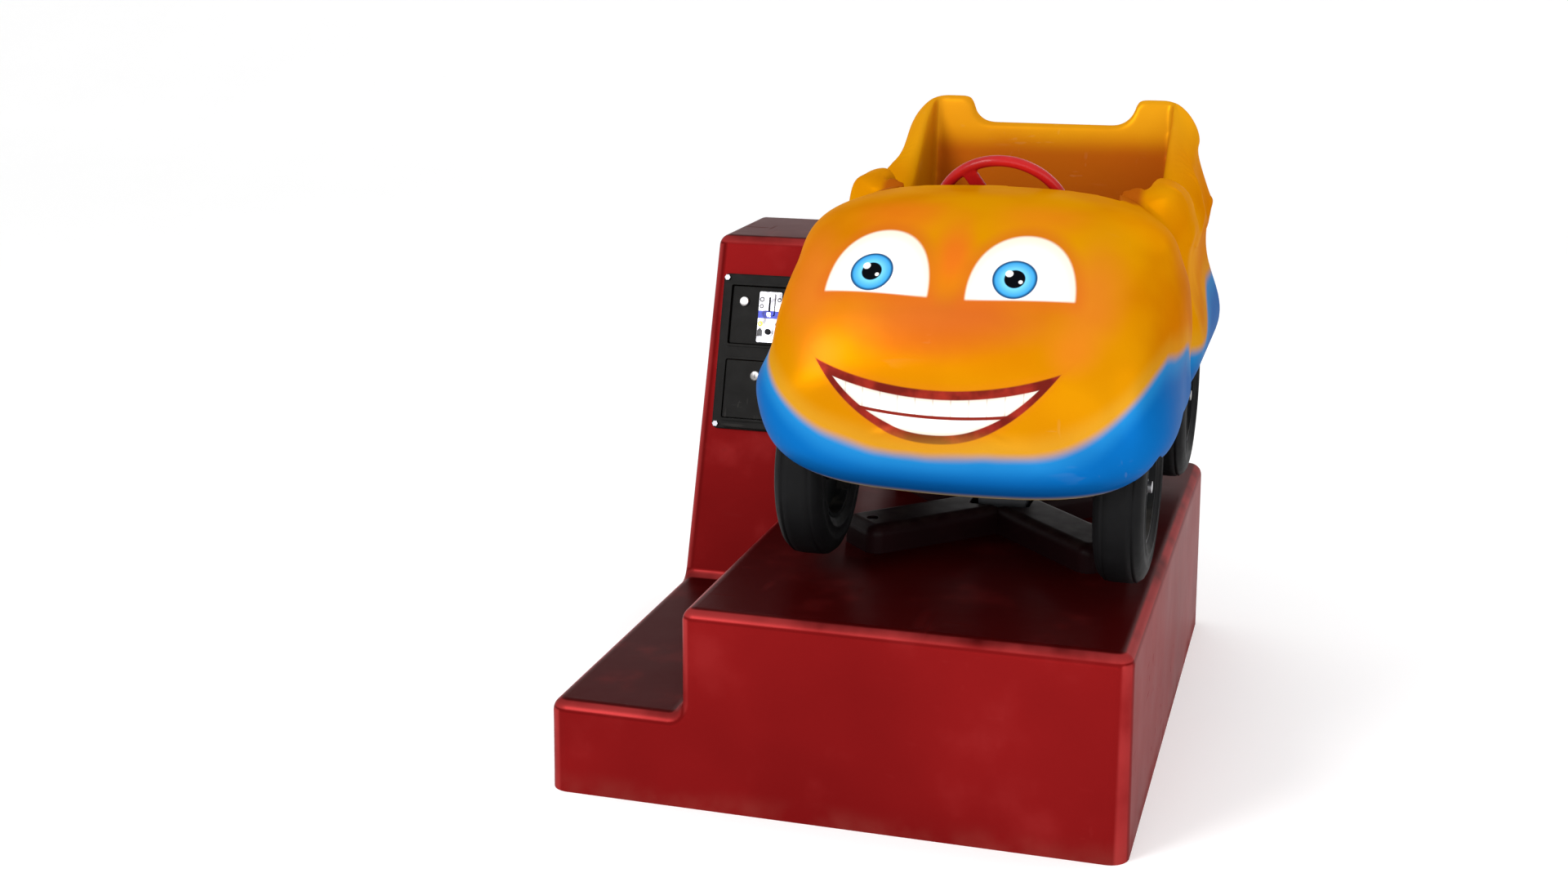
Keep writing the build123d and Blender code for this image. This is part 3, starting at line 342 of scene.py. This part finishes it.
RED, RED_DARK, RED_PALE = rgb(120, 19, 20), rgb(104, 14, 15), rgb(150, 48, 48)
FINISHES = {
    "red_grp": lambda n: gelcoat(n, RED, RED_DARK, RED_PALE, 0.34),
    # The cover's near-black colour is its own dark brown, darkened further as painted shade for the deep
    # shade under the car.
    "cover_maroon": lambda n: coated(n, rgb(26, 9, 11), 0.42, 300.0, 0.04, 0.2, 0.03),
    "black_paint": lambda n: coated(n, rgb(20, 19, 18), 0.45, 700.0, 0.05, 0.2, 0.05),
    "frame_grey": lambda n: coated(n, rgb(92, 94, 98), 0.5, 600.0, 0.05, 0.12, 0.25),
    "steel": lambda n: bare(n, rgb(178, 178, 182), 0.34),
    "zinc": lambda n: bare(n, rgb(142, 143, 148), 0.40, (1, 1, 1)),
    "cast_grey": lambda n: coated(n, rgb(84, 88, 94), 0.6, 260.0, 0.2, 0.15, 0.25),
    "motor_blue": lambda n: coated(n, rgb(46, 84, 122), 0.42, 380.0, 0.08, 0.12, 0.25, coat=0.15),
    "black_plastic": lambda n: coated(n, rgb(34, 34, 36), 0.5, 1200.0, 0.03, 0.15, 0.15),
    "belt_rubber": lambda n: rubber(n, rgb(26, 26, 26), 0.65),
    "pad_rubber": lambda n: rubber(n, rgb(30, 30, 30), 0.75),
    "tyre_rubber": lambda n: rubber(n, rgb(12, 12, 13), 0.58),
    "rim_black": lambda n: coated(n, rgb(18, 19, 20), 0.45, 500.0, 0.04, 0.2, 0.1),
    "board_green": circuit,
    "plate_metal": coin_plate_finish,
    "chrome": lambda n: bare(n, rgb(126, 124, 124), 0.30, (1, 1, 1), rgb(70, 66, 62), 0.002),
    "bronze": lambda n: bare(n, rgb(186, 142, 84), 0.32, (0.05, 1, 1), rgb(96, 66, 40)),
    "steering_red": lambda n: coated(n, rgb(166, 20, 22), 0.34, 800.0, 0.02, 0.14, 0.04, coat=0.3),
    "grey_metal": lambda n: coated(n, rgb(126, 128, 132), 0.42, 700.0, 0.04, 0.1, 0.2, metal=0.3),
}
made = {}


def finish(slot):
    """The one material of a finish, made when it is first asked for."""
    if slot not in made:
        made[slot] = FINISHES[slot](slot + "_finish")
    return made[slot]


# ---------------------------------------------------------------- mesh helpers
def new_piece(name, vertices, faces, body, slot):
    """A smooth-shaded piece that rides on a body and has a record slot."""
    mesh = bpy.data.meshes.new(name)
    mesh.from_pydata([tuple(v) for v in vertices], [], faces)
    mesh.validate()
    mesh.update()
    mesh.polygons.foreach_set("use_smooth", [True] * len(mesh.polygons))
    piece = bpy.data.objects.new(name, mesh)
    bpy.context.scene.collection.objects.link(piece)
    mesh.materials.append(finish(slot))
    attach(piece, body)
    return piece


def apply_modifiers(piece):
    """Turns what the modifiers make into the piece's own mesh."""
    depsgraph = bpy.context.evaluated_depsgraph_get()
    mesh = bpy.data.meshes.new_from_object(piece.evaluated_get(depsgraph))
    piece.modifiers.clear()
    piece.data = mesh


def remeshed(name, node, voxel, smooth):
    """A copy of a CAD node as one even, softly rounded skin."""
    mesh = NODES[node].data.copy()
    mesh.materials.clear()
    piece = bpy.data.objects.new(name, mesh)
    bpy.context.scene.collection.objects.link(piece)
    remesh = piece.modifiers.new("even", "REMESH")
    remesh.mode, remesh.voxel_size, remesh.use_smooth_shade = "VOXEL", voxel, True
    if smooth:
        soft = piece.modifiers.new("soft", "SMOOTH")
        soft.factor, soft.iterations = 0.5, smooth
    apply_modifiers(piece)
    return piece


def points_of(piece):
    co = np.empty(len(piece.data.vertices) * 3)
    piece.data.vertices.foreach_get("co", co)
    return co.reshape(-1, 3)


def set_points(piece, co):
    piece.data.vertices.foreach_set("co", co.ravel())
    piece.data.update()


def smoothstep(x, low, high):
    """0 below low, 1 above high, smooth between, for arrays."""
    t = np.clip((x - low) / (high - low), 0, 1)
    return t * t * (3 - 2 * t)


# ---------------------------------------------------------------- car body
BODY_VOXEL, BODY_SMOOTH = 0.005, 4
TUB_HALF, TUB_BACK, COCKPIT_HALF = 0.320, 0.556, 0.240
PLAN_FRONT, PLAN_CORNER = -0.4, 0.10        # the tub's plan, for the distance in from its edge
RIM_X, RIM_Y = 0.285, 0.515                 # middle of the rims
OUTER_ROLL, INNER_ROLL, ROLL_REACH = 0.050, 0.026, 0.15
WING_W, WING_H, WING_REACH, WING_TOPS = 0.100, 0.120, 0.10, (1.00, 1.09)
SHOULDER_FILL, CHEEK_CUT, SKIRT_FILL, BONNET_SHIFT = 0.10, 0.05, 0.055, 0.010


def local_tops(co, cell=0.012):
    """The height of the rim above each spot of the plan, gently averaged.

    Spots further out than the rim's middle take the nearest rim."""
    low = co.min(axis=0)
    ix = np.round((co[:, 0] - low[0]) / cell).astype(int) + 1
    iy = np.round((co[:, 1] - low[1]) / cell).astype(int) + 1
    tops = np.zeros((ix.max() + 2, iy.max() + 2))
    np.maximum.at(tops, (ix, iy), co[:, 2])
    total, count = np.zeros_like(tops), np.zeros_like(tops)
    for dx in (-1, 0, 1):
        for dy in (-1, 0, 1):
            near = np.roll(np.roll(tops, dx, 0), dy, 1)
            known = near > tops - 0.05
            total += np.where(known, near, 0)
            count += known
    x = CAR_X + np.clip(co[:, 0] - CAR_X, -RIM_X, RIM_X)
    y = np.minimum(co[:, 1], RIM_Y)
    ix = np.round((x - low[0]) / cell).astype(int) + 1
    iy = np.round((y - low[1]) / cell).astype(int) + 1
    return (total / np.maximum(count, 1))[ix, iy]


def roll_drop(deep, width, height):
    """How far a rolled edge of an elliptical section has dropped at a distance in from the edge."""
    return height * (1 - np.sqrt(np.maximum(1 - np.maximum(1 - deep / width, 0) ** 2, 0)))


def round_rims(co):
    """Broad, softly rolled top edges round the cockpit: full outside, tighter inside."""
    x, y, z = np.abs(co[:, 0] - CAR_X), co[:, 1], co[:, 2]
    mid, half_y = (PLAN_FRONT + TUB_BACK) / 2, (TUB_BACK - PLAN_FRONT) / 2
    qx, qy = x - (TUB_HALF - PLAN_CORNER), np.abs(y - mid) - (half_y - PLAN_CORNER)
    outside = np.hypot(np.maximum(qx, 0), np.maximum(qy, 0)) + np.minimum(np.maximum(qx, qy), 0) - PLAN_CORNER
    top = local_tops(co)
    wing = smoothstep(top, *WING_TOPS)
    over_wall = smoothstep(x, COCKPIT_HALF - 0.014, COCKPIT_HALF - 0.004)
    drop = roll_drop(np.clip(-outside, 0, 1), OUTER_ROLL, OUTER_ROLL)
    drop = drop * (1 - wing) + WING_H * np.clip(1 + outside / WING_W, 0, 1) ** 2.2 * wing
    drop_in = roll_drop(np.clip(x - COCKPIT_HALF, 0, 1), INNER_ROLL, INNER_ROLL)
    drop_in *= over_wall * (1 - smoothstep(y, 0.41, 0.45))
    share = smoothstep(z, top - ROLL_REACH - WING_REACH * wing, top - 0.004)
    share *= smoothstep(y, 0.0, 0.07) * smoothstep(z, 0.80, 0.86)
    reach = np.maximum(over_wall, smoothstep(y, 0.44, 0.47))
    moved = co.copy()
    moved[:, 2] -= share * reach * np.maximum(drop, drop_in)
    return moved


def fill_bonnet(co):
    """Squarer shoulders, slimmer cheeks, a fuller skirt on one side and a blunter front for the bonnet."""
    x, y, z = co[:, 0] - CAR_X, co[:, 1], co[:, 2]
    ahead = 1 - smoothstep(y, -0.20, 0.0)
    shoulder = smoothstep(z, 0.90, 1.0) * ahead
    cheek = smoothstep(z, 0.72, 0.79) * (1 - smoothstep(z, 0.90, 0.98)) * (1 - smoothstep(y, -0.46, -0.20))
    skirt = (1 - smoothstep(z, 0.66, 0.76)) * smoothstep(x, 0.10, 0.25) * (1 - smoothstep(y, -0.12, 0.0))
    moved = co.copy()
    moved[:, 0] += x * (SHOULDER_FILL * shoulder - CHEEK_CUT * cheek + SKIRT_FILL * skirt)
    moved[:, 0] += BONNET_SHIFT * smoothstep(z, 0.70, 0.80) * (1 - smoothstep(y, -0.35, -0.08))
    moved[:, 1] += BONNET_SHIFT * (1 - smoothstep(y, -0.55, -0.40))
    return moved


def raw_hollow(p, nz, z):
    """Unpainted laminate under the body."""
    return nz.below(-0.8, -0.97) * z.below(0.80, 0.76)


def oval(x, z, x0, z0, half_x, half_z):
    """1 in the middle of a soft oval, 0 outside it."""
    far = (((x - x0) / half_x) ** 2 + ((z - z0) / half_z) ** 2) ** 0.5
    return far.below(1.0, 0.1)


FACE_MID = -0.012
EYE_APART, EYE_Z = 0.118, 0.896
LOOK_SHIFT, LOOK_Z = -0.012, 0.922
# Airbrushed blots on the front: across, height, half width, half height, strength, ink.
BLOTS = (
    (0.0, 0.862, 0.27, 0.062, 0.72, rgb(186, 84, 36)),
    (-0.03, 0.822, 0.17, 0.04, 0.45, rgb(176, 74, 22)),
    (-0.235, 0.90, 0.08, 0.11, 0.6, rgb(206, 108, 40)),
    (0.235, 0.90, 0.07, 0.11, 0.5, rgb(206, 108, 40)),
    (-0.11, 1.0, 0.13, 0.05, 0.5, rgb(224, 106, 30)),
    (0.13, 1.005, 0.12, 0.045, 0.4, rgb(222, 110, 30)),
    (0.0, 0.95, 0.05, 0.07, 0.7, rgb(216, 98, 30)),
    (-0.2, 0.80, 0.06, 0.05, 0.3, rgb(214, 104, 40)),
    (0.21, 0.82, 0.06, 0.05, 0.3, rgb(214, 104, 40)),
)


def body_finish(name, skin):
    """The car's airbrushed gelcoat: yellow over blue, warm blots on the front and a friendly face, with
    painted shade on the flanks and inside the cockpit, a painted highlight on the cockpit rims and painted
    glints in the eyes.
    """
    p = Paint(name, rough=0.34, metal=0.22, Specular_IOR_Level=0.0, Specular_Tint=(0.9, 0.6, 0.3, 1.0))
    x, y, z = p.xyz((CAR_X, 0, 0))
    nz = p.facing()[2]
    drift = p.noise(7.0, 2.0) - 0.5
    side = abs(x)

    tone = p.mix(p.noise(3.4, 3.0).step(0.32, 0.68), rgb(190, 108, 0), rgb(206, 138, 2))
    low_nose = z.below(0.93, 0.70) * y.below(-0.40, -0.46)
    tone = p.mix(low_nose * 0.75, tone, rgb(178, 116, 4))
    # Painted shade: the flanks are painted darker orange in noisy patches.
    flank = side.step(0.30, 0.35) * z.below(1.0, 0.86)
    tone = p.mix(flank * p.noise(5.0, 2.0).step(0.3, 0.65) * 0.5, tone, rgb(168, 86, 6))
    inside = side.below(0.246, 0.228) * y.step(-0.12, -0.09) * y.below(0.487, 0.476) * z.below(1.075, 1.01)
    # Painted shade: the cockpit's inside is painted darker orange-brown, and darker still towards its floor.
    tone = p.mix(inside * 0.9, tone, rgb(162, 76, 14))
    tone = p.mix(inside * z.below(0.88, 0.70) * 0.7, tone, rgb(118, 50, 12))
    # Painted highlight: the high rims round the cockpit are painted lighter yellow, more so towards the top.
    rims = z.step(0.94, 1.12) * y.step(-0.02, 0.06) * (1.0 - inside)
    tone = p.mix(rims * 0.4, tone, rgb(226, 160, 36))

    # airbrushed warmth on the front
    front = y.below(-0.24, -0.32)
    for dx, z0, half_x, half_z, share, ink in BLOTS:
        blot = oval(x + drift * 0.03, z + drift * 0.02, FACE_MID + dx, z0, half_x, half_z)
        tone = p.mix(blot * front * share, tone, ink)

    # friendly face
    def on_skin(dx, height):
        hit, where, _, _ = skin.ray_cast(Vector((CAR_X + dx, -2.0, height)), Vector((0, 1, 0)))
        return where

    for hand in (-1, 1):
        eye = FACE_MID + hand * EYE_APART
        centre = on_skin(eye, EYE_Z)
        rise = (on_skin(eye, EYE_Z + 0.059) - centre).normalized()
        px, py, pz = p.xyz(centre)
        v = py * rise.y + pz * rise.z
        u = px * hand
        base = v - u * 0.06 + 0.004
        shape = ((u / 0.088) ** 2 + (v / 0.128) ** 2) ** 0.5
        rim_shade = shape.below(1.30, 0.98) * base.step(-0.03, 0.0) * front
        tone = p.mix(rim_shade * 0.55, tone, rgb(196, 92, 30))
        white = shape.below(1.02, 0.96) * base.step(-0.003, 0.003) * front
        ball = p.mix(shape.step(0.55, 1.0), rgb(254, 253, 249), rgb(236, 226, 208))
        tone = p.mix(white, tone, ball)
        look = on_skin(eye + LOOK_SHIFT, LOOK_Z)
        qx, qy, qz = p.xyz(look)
        far = (qx ** 2 + qy ** 2 + qz ** 2) ** 0.5
        iris = p.mix(far.step(0.012, 0.034), rgb(120, 208, 244), rgb(58, 152, 214))
        iris = p.mix(far.step(0.030, 0.035), iris, rgb(22, 66, 110))
        tone = p.mix(far.below(0.0375, 0.0350) * white, tone, iris)
        tone = p.mix(far.below(0.0180, 0.0160) * white, tone, rgb(10, 12, 16))
        # Painted highlights: two white glints on each eye.
        for gx, gz, size in ((-0.010, 0.007, 0.0062), (0.010, -0.004, 0.0032)):
            spot = on_skin(eye + LOOK_SHIFT + gx, LOOK_Z + gz)
            sx, sy, sz = p.xyz(spot)
            near = (sx ** 2 + sy ** 2 + sz ** 2) ** 0.5
            tone = p.mix(near.below(size + 0.001, size - 0.001) * white, tone, rgb(255, 255, 255))

    mx = x - FACE_MID + 0.004
    wide = abs(mx)
    over = (wide ** 2.0) * 0.9 + 0.7465 - z
    under = z - ((wide / 0.19) ** 2.2) * 0.108 - 0.671
    mouth = over.least(under)
    lip = mouth.step(-0.0065, -0.0035) * front
    lip_tone = p.mix(p.noise(26.0, 3.0).step(0.35, 0.7), rgb(96, 26, 20), rgb(140, 40, 30))
    tone = p.mix(mouth.step(-0.022, -0.002) * front * 0.35, tone, rgb(190, 104, 20))
    tone = p.mix(lip, tone, lip_tone)
    gums = mouth.step(0.0085, 0.0105) * front
    tooth = p.mix(mouth.step(0.010, 0.022), rgb(206, 196, 184), rgb(244, 240, 232))
    split = abs(z - 0.708 - (wide ** 2.0) * 0.6)
    gap = split.below(0.0034, 0.0020)
    upright = abs(mx.wave(0.058)).below(0.16, 0.06) * z.step(0.707, 0.712)
    tooth = p.mix(upright * 0.45, tooth, rgb(150, 120, 100))
    tooth = p.mix(gap, tooth, rgb(118, 34, 26))
    tone = p.mix(gums, tone, tooth)

    # blue lower band
    nose_line = ((side / 0.32) ** 3.5) * 0.13 + 0.645
    arcs = None
    for axle in (AXLE_FRONT - 0.02, AXLE_REAR):
        arc = abs(y - axle).below(0.26, 0.02)
        arcs = arc if arcs is None else arcs.most(arc)
    arcs = arcs.most(y.step(AXLE_REAR - 0.04, AXLE_REAR + 0.02))
    flank_line = arcs * 0.078 + 0.714
    back_share = y.step(-0.42, -0.30)
    line = nose_line.least(0.80) * (1.0 - back_share) + flank_line * back_share
    under_line = line - z + drift * 0.016
    outer = (1.0 - inside)
    band = under_line.step(-0.012, 0.012) * outer
    blue = p.mix(under_line.step(0.0, 0.05), rgb(30, 118, 178), rgb(8, 92, 160))
    blue = p.mix(z.below(0.64, 0.57), blue, rgb(4, 66, 124))
    blue = p.mix(p.noise(4.0, 2.0).step(0.55, 0.75) * 0.5, blue, rgb(4, 74, 136))
    tone = p.mix(under_line.step(-0.05, -0.01) * outer * 0.35, tone, rgb(190, 150, 50))
    tone = p.mix(band, tone, blue)
    tone = p.mix(raw_hollow(p, nz, z), tone, rgb(150, 128, 84))

    scuff = scratches(p, 70.0)
    tone = p.mix(scuff * 0.035, tone, rgb(236, 214, 170))
    p.colour(tone)
    p.rough(p.noise(6.0, 3.0) * 0.16 + scuff * 0.16 + 0.26)
    p.bump(p.noise(6.0, 1.0), 1.2 * MM)
    p.bump(p.noise(30.0, 1.0), 0.18 * MM)
    p.bump(p.noise(420.0, 1.0), 0.010 * MM)
    return p.material


body = remeshed("ride_car_body", "car_body", BODY_VOXEL, BODY_SMOOTH)
set_points(body, fill_bonnet(round_rims(points_of(body))))
soft = body.modifiers.new("soft", "SMOOTH")
soft.factor, soft.iterations = 0.5, 10
lap = body.vertex_groups.new(name="lap")        # where the bonnet's foot laps the tub
x, y, z = points_of(body).T
at_lap = (y > -0.07) & (y < 0.05) & (z < 0.66) & (np.abs(x - CAR_X) > 0.2)
lap.add(np.flatnonzero(at_lap).tolist(), 1.0, "REPLACE")
eased = body.modifiers.new("eased", "SMOOTH")
eased.factor, eased.iterations, eased.vertex_group = 0.5, 30, "lap"
apply_modifiers(body)
bpy.context.view_layer.update()
body.data.materials.append(body_finish("airbrushed_body", body))
body.data.polygons.foreach_set("use_smooth", [True] * len(body.data.polygons))
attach(body, "car")
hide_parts("car_body")


# ---------------------------------------------------------------- tyres
TYRE_FACETS = 96


def lathe_x(profile, centre, count):
    """Turns a closed loop of (distance along X, radius) points about the X axis through centre."""
    vertices, faces = [], []
    rows = len(profile)
    for k in range(count):
        a = 2 * math.pi * k / count
        for dx, r in profile:
            vertices.append((centre[0] + dx, centre[1] + r * math.cos(a), centre[2] + r * math.sin(a)))
    for k in range(count):
        n = (k + 1) % count
        for i in range(rows):
            j = (i + 1) % rows
            faces.append((k * rows + i, n * rows + i, n * rows + j, k * rows + j))
    return vertices, faces


def tyre_profile(width, radius, bead):
    """Half a tyre's section from the tread's middle to the bead, then mirrored."""
    w = width / 2
    half = [(0.0, radius), (0.012, radius), (0.021, radius - 0.0006), (0.0225, radius - 0.0026),
            (0.0245, radius - 0.0028), (0.026, radius - 0.0012), (w - 0.013, radius - 0.0042),
            (w - 0.007, radius - 0.009),
            (w - 0.003, radius - 0.017), (w - 0.0008, radius - 0.026), (w, radius - 0.031),
            (w - 0.0015, radius - 0.0335), (w - 0.0015, radius - 0.046), (w - 0.0002, radius - 0.048),
            (w - 0.0002, radius - 0.051), (w - 0.0025, radius - 0.053), (w - 0.006, bead + 0.006),
            (w - 0.009, bead + 0.001), (w - 0.014, bead + 0.0004)]
    return half + [(-dx, r) for dx, r in half[:0:-1]]


for corner in ("fl", "fr", "rl", "rr"):
    low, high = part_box("tyre_" + corner)
    centre = (low + high) / 2
    radius = (high.z - low.z) / 2
    rim_low, rim_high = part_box("rim_" + corner)
    bead = (rim_high.z - rim_low.z) / 2
    vertices, faces = lathe_x(tyre_profile(high.x - low.x, radius, bead), centre, TYRE_FACETS)
    tyre = new_piece("tyre_tread_" + corner, vertices, faces, "wheel_" + corner, "tyre_rubber")
    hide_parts("tyre_" + corner)

# ---------------------------------------------------------------- steering wheel
WHEEL_VOXEL, WHEEL_SMOOTH = 0.0022, 5
wheel = remeshed("steering_wheel_moulding", "steering_wheel", WHEEL_VOXEL, WHEEL_SMOOTH)
wheel.data.materials.append(finish("steering_red"))
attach(wheel, "steering")
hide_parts("steering_wheel")

# ---------------------------------------------------------------- finishes on the CAD nodes
for node, piece in NODES.items():
    for index, material in enumerate(piece.data.materials):
        slot = material.name.split(".")[0] if material else ""
        if slot in FINISHES:
            piece.data.materials[index] = finish(slot)
        elif node != "car_body":
            print("NO FINISH", node, slot)


# ---------------------------------------------------------------- studio
def studio_floor():
    """A pale floor that sweeps up behind the object."""
    depth, bend, wall, half = 9.0, 3.0, 7.0, 22.0
    line = [(-14.0, 0.0), (depth, 0.0)]
    line += [(depth + bend * math.sin(a), bend * (1 - math.cos(a)))
             for a in (math.pi / 2 * k / 12 for k in range(1, 13))]
    line.append((depth + bend, wall))
    vertices = [(side * half, y, z) for y, z in line for side in (-1, 1)]
    faces = [(2 * k, 2 * k + 1, 2 * k + 3, 2 * k + 2) for k in range(len(line) - 1)]
    mesh = bpy.data.meshes.new("studio_floor")
    mesh.from_pydata(vertices, [], faces)
    mesh.update()
    mesh.polygons.foreach_set("use_smooth", [True] * len(mesh.polygons))
    floor = bpy.data.objects.new("studio_floor", mesh)
    bpy.context.scene.collection.objects.link(floor)
    p = Paint("studio_paper", rough=0.9, Emission_Color=(1.0, 1.0, 1.0, 1.0), Emission_Strength=0.14)
    p.colour(p.mix(p.noise(1.5, 2.0), rgb(248, 248, 248), rgb(251, 251, 251)))
    mesh.materials.append(p.material)


def area_light(name, place, target, size, power, colour=(1, 1, 1)):
    light = bpy.data.lights.new(name, "AREA")
    light.shape, light.size, light.energy, light.color = "DISK", size, power, colour
    lamp = bpy.data.objects.new(name, light)
    bpy.context.scene.collection.objects.link(lamp)
    lamp.location = place
    lamp.rotation_euler = (Vector(target) - Vector(place)).to_track_quat("-Z", "Y").to_euler()


SKY = 0.85
CAMERA_AT, CAMERA_DOWN, CAMERA_TURN = (0.6785, -3.4808, 1.4788), 15.10, 16.87
LENS, SENSOR = 44.63, 36.0

studio_floor()
area_light("key", (-1.9, -3.2, 2.4), (0, 0, 0.6), 1.6, 80)
area_light("fill", (2.6, -2.6, 1.2), (0, 0, 0.5), 2.2, 26)
area_light("front", (0.6, -4.4, 0.9), (0, 0, 0.4), 2.6, 30)
area_light("back", (1.5, 3.4, 2.8), (0, 0, 0.6), 2.6, 20)
world = bpy.data.worlds.new("studio")
world.use_nodes = True
sky = world.node_tree.nodes["Background"]
sky.inputs["Color"].default_value = (1, 1, 1, 1)
sky.inputs["Strength"].default_value = SKY
bpy.context.scene.world = world
bpy.context.scene.view_settings.view_transform = "Standard"

lens = bpy.data.cameras.new("camera")
lens.lens, lens.sensor_width = LENS, SENSOR
camera = bpy.data.objects.new("camera", lens)
bpy.context.scene.collection.objects.link(camera)
camera.location = CAMERA_AT
camera.rotation_euler = (math.radians(90 - CAMERA_DOWN), 0, math.radians(CAMERA_TURN))
bpy.context.scene.camera = camera
